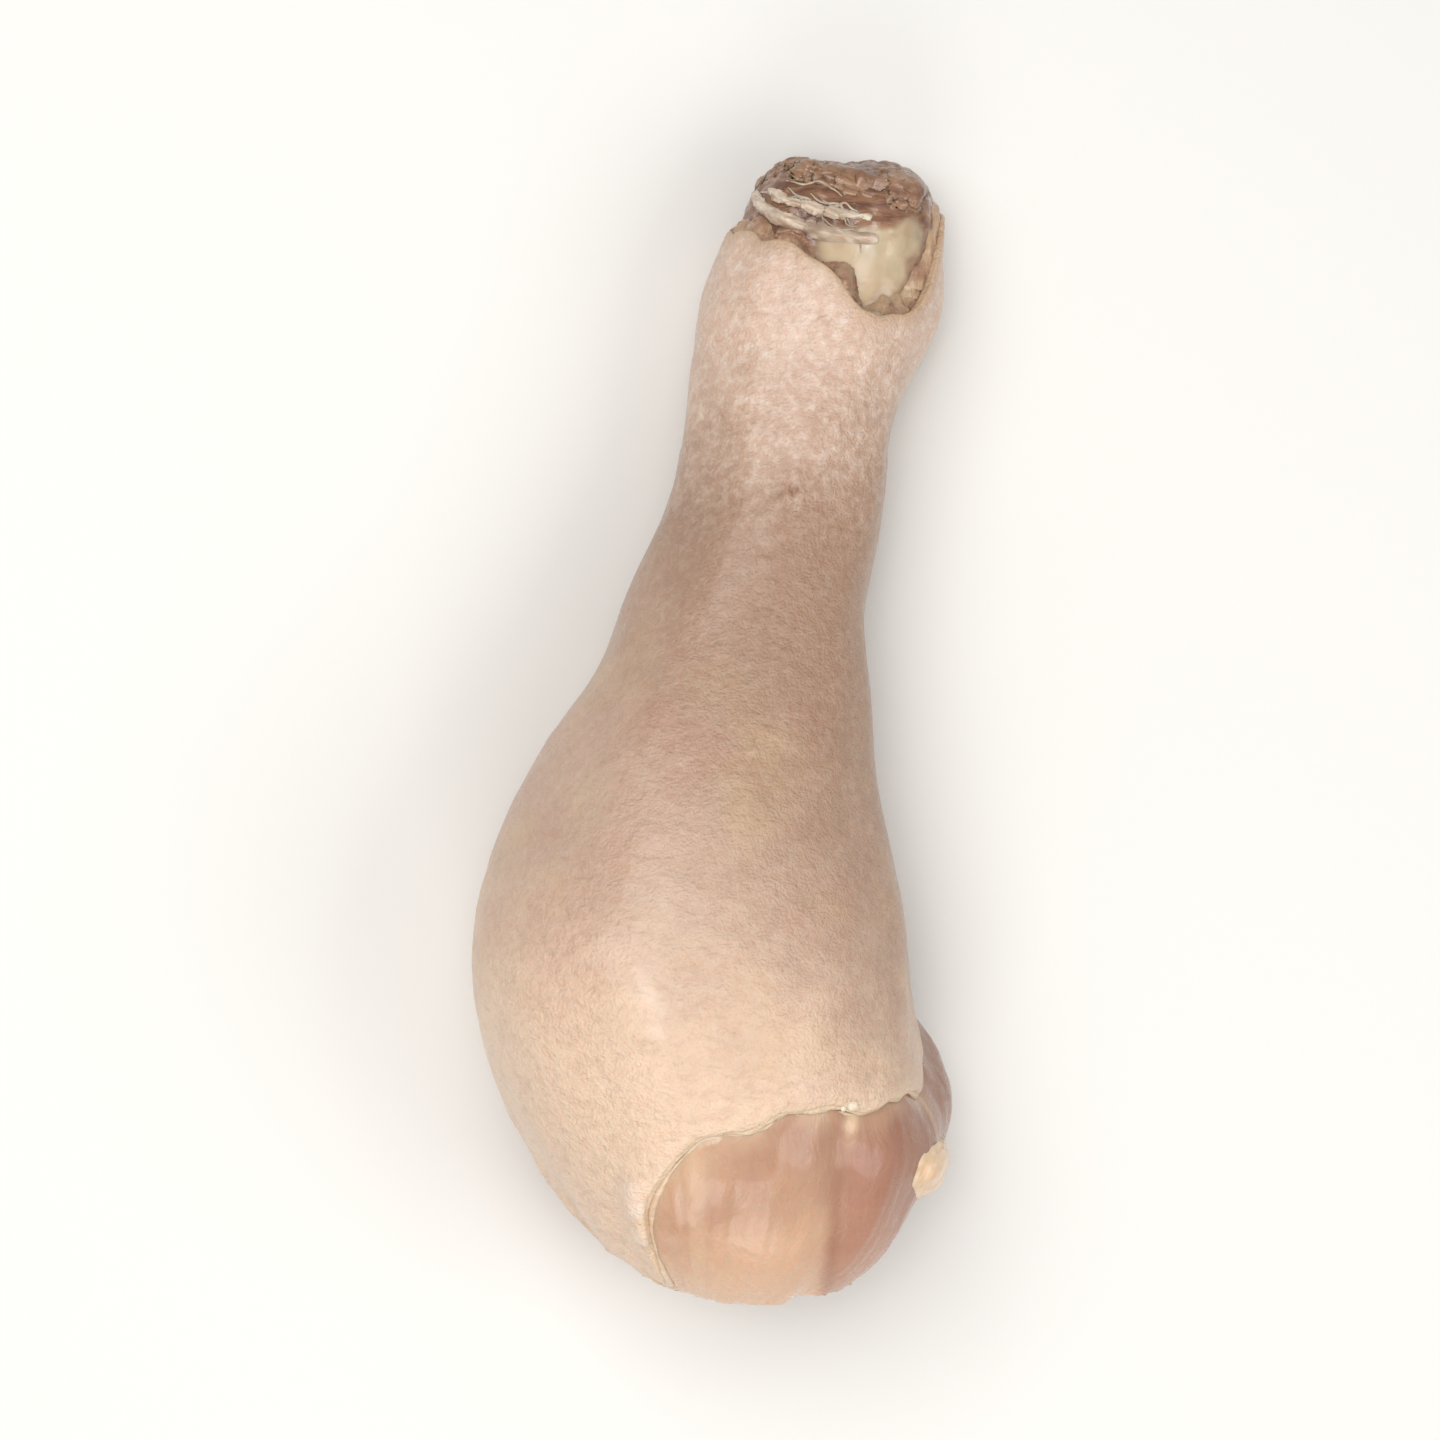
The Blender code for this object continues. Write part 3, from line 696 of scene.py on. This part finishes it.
def cartilageMaterial(look):
    # Joint cartilage: milky beige to grey with a wet, even gloss and brown stains. The torn tissue on it
    # is dark red brown and has fine threads.
    made, tree = emptyMaterial("jointCartilage")
    spot = addNode(tree, "ShaderNodeTexCoord").outputs["Object"]
    size = addNode(tree, "ShaderNodeMapping", {"Scale": (1000, 1000, 1000)}, {"Vector": spot})
    cloud = addNode(tree, "ShaderNodeTexNoise", {"Scale": 0.16, "Detail": 4.0}, {"Vector": size})
    share = addNode(tree, "ShaderNodeMapRange", {1: 0.4, 2: 0.62, 3: 0.0, 4: 0.9}, {0: cloud})
    colour = addNode(
        tree,
        "ShaderNodeMix",
        {"data_type": "RGBA", 6: look["usual"], 7: look["grey"]},
        {0: share},
    )
    stain = addNode(
        tree, "ShaderNodeTexNoise", {"Scale": 0.35, "Detail": 5.0, "Distortion": 0.8}, {"Vector": size}
    )
    share = addNode(tree, "ShaderNodeMapRange", {1: 0.5, 2: 0.75, 3: 0.0, 4: 0.6}, {0: stain})
    colour = addNode(tree, "ShaderNodeMix", {"data_type": "RGBA", 7: look["stain"]}, {0: share, 6: colour})
    turn = (0, 0, math.radians(look["threadHeading"]))
    along = {"Rotation": turn, "Scale": (0.3, 1.2, 0.8)}
    long = addNode(tree, "ShaderNodeMapping", along, {"Vector": size})
    threads = addNode(
        tree, "ShaderNodeTexNoise", {"Scale": 0.9, "Detail": 4.0, "Distortion": 0.5}, {"Vector": long}
    )
    share = addNode(tree, "ShaderNodeMapRange", {1: 0.4, 2: 0.62, 3: 0.0, 4: 1.0}, {0: threads})
    tissue = addNode(
        tree,
        "ShaderNodeMix",
        {"data_type": "RGBA", 6: look["torn"], 7: look["tornDark"]},
        {0: share},
    )
    torn = addNode(tree, "ShaderNodeAttribute", {"attribute_name": "torn"}).outputs["Fac"]
    colour = addNode(tree, "ShaderNodeMix", {"data_type": "RGBA"}, {0: torn, 6: colour, 7: tissue})
    raised = addNode(tree, "ShaderNodeMath", {"operation": "MULTIPLY"}, {0: torn, 1: threads})
    raised = addNode(tree, "ShaderNodeMath", {"operation": "MULTIPLY_ADD", 1: 3.0}, {0: raised, 2: stain})
    bump = addNode(tree, "ShaderNodeBump", {"Strength": 0.4, "Distance": 0.00025}, {"Height": raised})
    gloss = addNode(tree, "ShaderNodeMapRange", {1: 0.35, 2: 0.65, 3: 0.18, 4: 0.34}, {0: stain})
    shader = addNode(
        tree,
        "ShaderNodeBsdfPrincipled",
        {
            "IOR": 1.42,
            "Subsurface Weight": 0.5,
            "Subsurface Radius": (1.0, 0.75, 0.5),
            "Subsurface Scale": 0.0015,
            "Coat Weight": 0.4,
            "Coat Roughness": 0.08,
        },
        {"Base Color": colour, "Roughness": gloss, "Normal": bump},
    )
    addNode(tree, "ShaderNodeOutputMaterial", None, {"Surface": shader})
    return made


def buildBone(look, skinRim):
    piece = finerCopy("bone", look["levels"])
    tree = pointTree(skinRim)
    places = [Vector(place) / mm for place in placesOf(piece)]
    left, far = look["tornFrom"]

    def tornShare(place):
        wander = 1.5 * noise.noise(place / 3.2)
        beside = 0.9 * bell(tree.find(place)[2] - 1.2, max(1.6 + 2.2 * noise.noise(place / 2.5), 0.5))
        past = smoothStep(-0.8, 0.8, place.y - far + wander)
        before = smoothStep(-1.2, 1.2, left - place.x + wander) * smoothStep(40, 46, place.y)
        return max(beside, past, before)

    torn = [tornShare(place) for place in places]

    def shift(number, place, normal):
        lumps = look["lumpDepth"] * noise.noise(place / look["lumpSize"])
        ragged = noise.noise(place / 1.7) + 0.6 * noise.noise(place / 0.8)
        return normal * (lumps + look["tornDepth"] * torn[number] * ragged)

    keep(piece, "torn", torn)
    moveAll(piece, shift)
    return finished(piece, "cartilage", cartilageMaterial(look), "bone")


# Torn tissue at the hock, and fat at the knee. Each kind has its usual, light and dark colour.

tissueLook = {
    "sinew": {
        "size": 2.2,
        "depth": 0.55,
        "sink": 0.5,
        "rimSink": 1.1,
        "rimWidth": 2.2,
        "heading": -15,
        "rough": 0.8,
        "colours": ("#8D694E", "#A98569", "#6F4A38"),
    },
    "tendon": {
        "size": 2.5,
        "depth": 0.1,
        "sink": 0.4,
        "rimSink": 0.45,
        "rimWidth": 0.6,
        "heading": -26,
        "rough": 0.35,
        # Its light colour is partly a painted highlight along the strands.
        "colours": ("#BFA78F", "#EBDBC9", "#97806B"),
    },
    "fat": {
        "size": 3.4,
        "depth": 0.5,
        "sink": 0.5,
        "rimSink": 1.2,
        "rimWidth": 1.8,
        "heading": 60,
        "rough": 0.7,
        "colours": ("#DBB995", "#E6CFB0", "#CDA482"),
    },
    "membrane": {
        "reach": 2.0,  # past the skin's edge
        "ragged": 1.2,
        "hidden": 4.0,  # and under the skin
        "skinWithin": 6.0,
        "thickness": 0.25,
        "stain": ((10.5, 52.0, 15.0), 5.5),  # where it is red brown, and how far
        "heading": 80,
        "rough": 0.8,
        "colours": ("#B48E70", "#C9A98A", "#84503F"),
    },
    "threads": {
        "count": 12,
        "radius": 0.16,
        "across": (3.5, 14.0),  # they start between these X
        "line": (61.0, -0.42),  # beside a line: its first Y and its slope
        "spread": (-2.5, 1.5),
        "headings": (-38, -8),
        "lengths": (3.0, 7.0),
        "steps": 14,
        "heading": -30,
        "rough": 0.3,
        "colours": ("#A98D74", "#D6C5B0", "#80634F"),
    },
    "lip": {
        "turns": 150,
        "radius": (0.3, 0.6),  # usually, and how much more along the tongue of skin
        "tongue": (128, 26),  # its turn round the leg, and how far it reaches from there
        "shift": (0.4, 0.35),  # down from the skin's edge, and out of it
        "heading": 0,
        "rough": 0.6,
        "colours": ("#D8B798", "#E5CBB0", "#CBA081"),
    },
    "pearls": {  # where, length along X, Y and Z
        "places": (
            ((12.3, -41.5), (0.65, 0.6, 0.5)),
            ((11.2, -41.9), (0.3, 0.4, 0.25)),
        ),
        "heading": 90,
        "rough": 0.4,
        "colours": ("#DFC9B0", "#EADBC8", "#D2B093"),
    },
}


def tissueMaterial(name, look):
    # Sinew, tendon, membrane and fat: fibrous or lumpy, wet and uneven in colour.
    made, tree = emptyMaterial(name)
    spot = addNode(tree, "ShaderNodeTexCoord").outputs["Object"]
    size = addNode(tree, "ShaderNodeMapping", {"Scale": (1000, 1000, 1000)}, {"Vector": spot})
    turn = (0, 0, -math.radians(look["heading"]))
    turned = addNode(tree, "ShaderNodeMapping", {"Rotation": turn}, {"Vector": size})
    long = addNode(tree, "ShaderNodeMapping", {"Scale": (0.25, 1.0, 0.7)}, {"Vector": turned})
    fine = addNode(
        tree, "ShaderNodeTexNoise", {"Scale": 1.6, "Detail": 4.0, "Distortion": 0.3}, {"Vector": long}
    )
    share = addNode(tree, "ShaderNodeMapRange", {1: 0.35, 2: 0.7, 3: 0.0, 4: 1.0}, {0: fine})
    usual, light, dark = look["colours"]
    colour = addNode(tree, "ShaderNodeMix", {"data_type": "RGBA", 6: usual, 7: light}, {0: share})
    broad = addNode(tree, "ShaderNodeTexNoise", {"Scale": 0.3, "Detail": 3.0}, {"Vector": size})
    share = addNode(tree, "ShaderNodeMapRange", {1: 0.45, 2: 0.7, 3: 0.0, 4: 0.85}, {0: broad})
    colour = addNode(tree, "ShaderNodeMix", {"data_type": "RGBA", 7: dark}, {0: share, 6: colour})
    stain = addNode(tree, "ShaderNodeAttribute", {"attribute_name": "stain"}).outputs["Fac"]
    colour = addNode(tree, "ShaderNodeMix", {"data_type": "RGBA", 7: dark}, {0: stain, 6: colour})
    relief = {"Strength": look["rough"], "Distance": 0.0004}
    bump = addNode(tree, "ShaderNodeBump", relief, {"Height": fine})
    shader = addNode(
        tree,
        "ShaderNodeBsdfPrincipled",
        {
            "Roughness": 0.28,
            "IOR": 1.42,
            "Subsurface Weight": 0.3,
            "Subsurface Radius": (1.0, 0.5, 0.3),
            "Subsurface Scale": 0.0012,
            "Coat Weight": 0.45,
            "Coat Roughness": 0.08,
        },
        {"Base Color": colour, "Normal": bump},
    )
    addNode(tree, "ShaderNodeOutputMaterial", None, {"Surface": shader})
    return made


def buildFlap(nodeName, slot, material, surface, look):
    piece = finerCopy(nodeName, 3)
    settle(piece, surface, look)

    def shift(number, place, normal):
        coarse = noise.noise(place / look["size"])
        finer = noise.noise(place * 2.3 / look["size"] + Vector((4, 1, 7)))
        return normal * (look["depth"] * (coarse + 0.4 * finer))

    moveAll(piece, shift)
    return finished(piece, slot, material, nodeName)


def buildMembrane(look, skin, bone, skinRim):
    # A torn film that closes the gap between the skin's edge and the bone at the hock.
    tree = pointTree([place for place in skinRim if place.y > 0])
    lining = surfaceOf(skin)
    shape = bmesh.new()
    shape.from_mesh(bone.data)
    bmesh.ops.scale(shape, vec=(1 / mm, 1 / mm, 1 / mm), verts=shape.verts)
    shape.normal_update()

    def roofOver(vertex):  # how far above it the skin is, or None
        return lining.ray_cast(vertex.co, vertex.normal, look["skinWithin"])[3]

    def pastEdge(vertex):
        # How far past the skin's edge, less than 0 under the skin, and how high that edge is there.
        step = tree.find(vertex.co)[0] - vertex.co
        height = step.dot(vertex.normal)
        beside = (step - vertex.normal * height).length
        return (beside if roofOver(vertex) is None else -beside), height

    edges = {vertex: pastEdge(vertex) for vertex in shape.verts}
    far = look["reach"] + look["ragged"]
    unused = [vertex for vertex in shape.verts if not -look["hidden"] < edges[vertex][0] < far]
    bmesh.ops.delete(shape, geom=unused, context="VERTS")
    moved = []
    for vertex in shape.verts:
        past, height = edges[vertex]
        share = 1 - smoothStep(-0.5, look["reach"], past + look["ragged"] * noise.noise(vertex.co / 2.6))
        rise = max(height, 0.0) * share
        roof = roofOver(vertex)
        if roof is not None:
            rise = min(rise, roof - 0.1)
        # Its torn edge is where it dips into the bone.
        rise += 0.15 * share * noise.noise(vertex.co / 1.8) + 0.1 - 0.4 * (1 - smoothStep(0.0, 0.4, share))
        moved.append(vertex.co + vertex.normal * rise)
    for vertex, place in zip(shape.verts, moved):
        vertex.co = place
    bmesh.ops.solidify(shape, geom=shape.faces, thickness=look["thickness"])
    piece = newPiece("hockMembrane", shape)
    spot, reach = Vector(look["stain"][0]), look["stain"][1]
    stains = [bell((Vector(place) / mm - spot).length, reach) for place in placesOf(piece)]
    keep(piece, "stain", stains)
    return finished(piece, "sinew", tissueMaterial("tornMembrane", look))


def buildLip(look, skinRim):
    # A roll of pale fat that shows below the skin's edge at the knee.
    rows = sorted((aroundLeg(place)[0], *place) for place in skinRim if place.y < 0)
    turns = [row[0] for row in rows]
    angles = [360 * k / look["turns"] for k in range(look["turns"])]
    along = [np.interp(angles, turns, [row[n] for row in rows], period=360) for n in (1, 2, 3)]
    edge = [Vector(place) for place in zip(*along)]
    tongue, tongueReach = look["tongue"]
    down, out = look["shift"]
    strand = []
    for k, (angle, place) in enumerate(zip(angles, edge)):
        away = aroundLeg(place)[1]
        onwards = edge[(k + 1) % len(edge)] - edge[k - 1]
        beside = away.cross(onwards).normalized()  # out of the skin's edge, over the muscle
        uneven = 0.75 + 0.5 * noise.noise(place / 3.5) + 0.35 * noise.noise(place / 1.4)
        radius = look["radius"][0] + look["radius"][1] * bell(turnBetween(angle, tongue), tongueReach)
        strand.append((place - away * down + beside * out, radius * uneven))
    piece = strandsPiece("kneeFatLip", [strand + strand[:1]])
    moveAll(piece, lambda n, place, normal: normal * (0.2 * noise.noise(place / 0.9)))
    return finished(piece, "fat", tissueMaterial("edgeFat", look))


def buildPearls(look, surfaces):
    # Small beads of fat, on whichever surface is the highest there.
    shape = bmesh.new()
    for (x, y), lengths in look["places"]:
        down = Vector((0, 0, -1))
        hits = [surface.ray_cast(Vector((x, y, 90)), down) for surface in surfaces]
        top, normal = max((hit[:2] for hit in hits if hit[0] is not None), key=lambda hit: hit[0].z)
        across = Vector((0, 1, 0)).cross(normal).normalized()
        turned = Matrix((across, normal.cross(across), normal)).transposed().to_4x4()
        made = bmesh.ops.create_icosphere(shape, subdivisions=4, radius=1)["verts"]
        bmesh.ops.scale(shape, vec=lengths, verts=made)
        bmesh.ops.transform(shape, matrix=Matrix.Translation(top) @ turned, verts=made)
        for vertex in made:
            vertex.co += vertex.normal * (0.15 * noise.noise(vertex.co / 0.8))
    return finished(newPiece("kneePearls", shape), "fat", tissueMaterial("fatPearl", look))


def buildThreads(look, surface):
    # Torn threads of membrane that cross from the skin's edge over the hock.
    drawn = np.random.default_rng(5)
    start, slope = look["line"]
    strands = []
    for _ in range(look["count"]):
        x = drawn.uniform(*look["across"])
        y = start + slope * (x - look["across"][0]) + drawn.uniform(*look["spread"])
        heading = math.radians(drawn.uniform(*look["headings"]))
        length = drawn.uniform(*look["lengths"])
        rows = []
        for k in range(look["steps"] + 1):
            share = k / look["steps"]
            bend = 0.5 * noise.noise(Vector((share * 2.5, x, y)))
            onwards = Vector((math.cos(heading + bend), math.sin(heading + bend), 0))
            place = Vector((x, y, 30)) + onwards * length * share
            hit = surface.ray_cast(place, Vector((0, 0, -1)))[0]
            if hit is None:
                continue
            taper = math.sin(math.pi * (0.06 + 0.88 * share))
            rows.append((hit + Vector((0, 0, 0.05)), look["radius"] * (0.25 + 0.75 * taper)))
        if len(rows) > 5:
            strands.append(rows)
    return finished(strandsPiece("hockThreads", strands), "sinew", tissueMaterial("tornThreads", look))


# The floor, the lights and the camera.

stageLook = {
    "floor": "#E6E4E0",
    "floorHalf": 1500,
    "room": ("#F2F1EF", 0.42),  # its colour and how bright it is
    "cameraTilt": (-7.0, 2.0),  # degrees to the left and towards the hock, from straight above
    "cameraDistance": 620.0,
    "frameHeight": 161.0,
    "lights": (  # place, size, watts
        ((-180, 160, 560), 420, 2.2),
        ((-120, 40, 620), 110, 0.35),
        ((300, -120, 420), 300, 0.8),
        ((-60, -380, 300), 240, 0.55),
    ),
}


def buildStage(look):
    shape = bmesh.new()
    bmesh.ops.create_grid(shape, x_segments=1, y_segments=1, size=look["floorHalf"] * mm)
    mesh = bpy.data.meshes.new("paleFloor")
    shape.to_mesh(mesh)
    shape.free()
    floor = bpy.data.objects.new("paleFloor", mesh)
    bpy.context.scene.collection.objects.link(floor)
    made, tree = emptyMaterial("paintedBoard")
    shader = addNode(tree, "ShaderNodeBsdfPrincipled", {"Base Color": look["floor"], "Roughness": 0.6})
    addNode(tree, "ShaderNodeOutputMaterial", None, {"Surface": shader})
    mesh.materials.append(made)

    world = bpy.data.worlds.new("softRoom")
    bpy.context.scene.world = world
    world.use_nodes = True
    background = world.node_tree.nodes["Background"]
    background.inputs["Color"].default_value = linear(look["room"][0])
    background.inputs["Strength"].default_value = look["room"][1]

    for number, (place, width, watts) in enumerate(look["lights"]):
        data = bpy.data.lights.new(f"softLight{number}", "AREA")
        data.size = width * mm
        data.energy = watts
        light = bpy.data.objects.new(data.name, data)
        light.location = Vector(place) * mm
        light.rotation_mode = "QUATERNION"
        light.rotation_quaternion = (Vector((0, 0, 0)) - light.location).to_track_quat("-Z", "Y")
        bpy.context.scene.collection.objects.link(light)

    left, forward = [math.tan(math.radians(turn)) for turn in look["cameraTilt"]]
    back = Vector((left, forward, 1)).normalized()
    right = Vector((0, 1, 0)).cross(back).normalized()
    data = bpy.data.cameras.new("camera")
    camera = bpy.data.objects.new("camera", data)
    data.lens = data.sensor_width * look["cameraDistance"] / look["frameHeight"]
    data.clip_start, data.clip_end = 0.01, 20
    target = (solidBounds[0] + solidBounds[1]) / 2
    turned = Matrix((right, back.cross(right), back)).transposed().to_4x4()
    camera.matrix_world = Matrix.Translation(target + back * look["cameraDistance"] * mm) @ turned
    bpy.context.scene.collection.objects.link(camera)
    bpy.context.scene.camera = camera
    bpy.context.scene.view_settings.view_transform = "Standard"
    print("The stage has", len(look["lights"]), "lights")


skin, skinRim = buildSkin(skinLook)
muscle = buildMuscle(muscleLook, skinRim)
bone = buildBone(cartilageLook, skinRim)
onBone, onMuscle, onSkin = surfaceOf(bone), surfaceOf(muscle), surfaceOf(skin)
sinewMaterial = tissueMaterial("tornSinew", tissueLook["sinew"])
tendonMaterial = tissueMaterial("cutTendon", tissueLook["tendon"])
buildFlap("sinew", "sinew", sinewMaterial, onBone, tissueLook["sinew"])
buildFlap("tendon_long", "tendon", tendonMaterial, onBone, tissueLook["tendon"])
buildFlap("tendon_short", "tendon", tendonMaterial, onBone, tissueLook["tendon"])
buildFlap("fat", "fat", tissueMaterial("softFat", tissueLook["fat"]), onMuscle, tissueLook["fat"])
buildMembrane(tissueLook["membrane"], skin, bone, skinRim)
buildLip(tissueLook["lip"], skinRim)
buildPearls(tissueLook["pearls"], (onSkin, onMuscle))
buildThreads(tissueLook["threads"], onBone)
buildStage(stageLook)
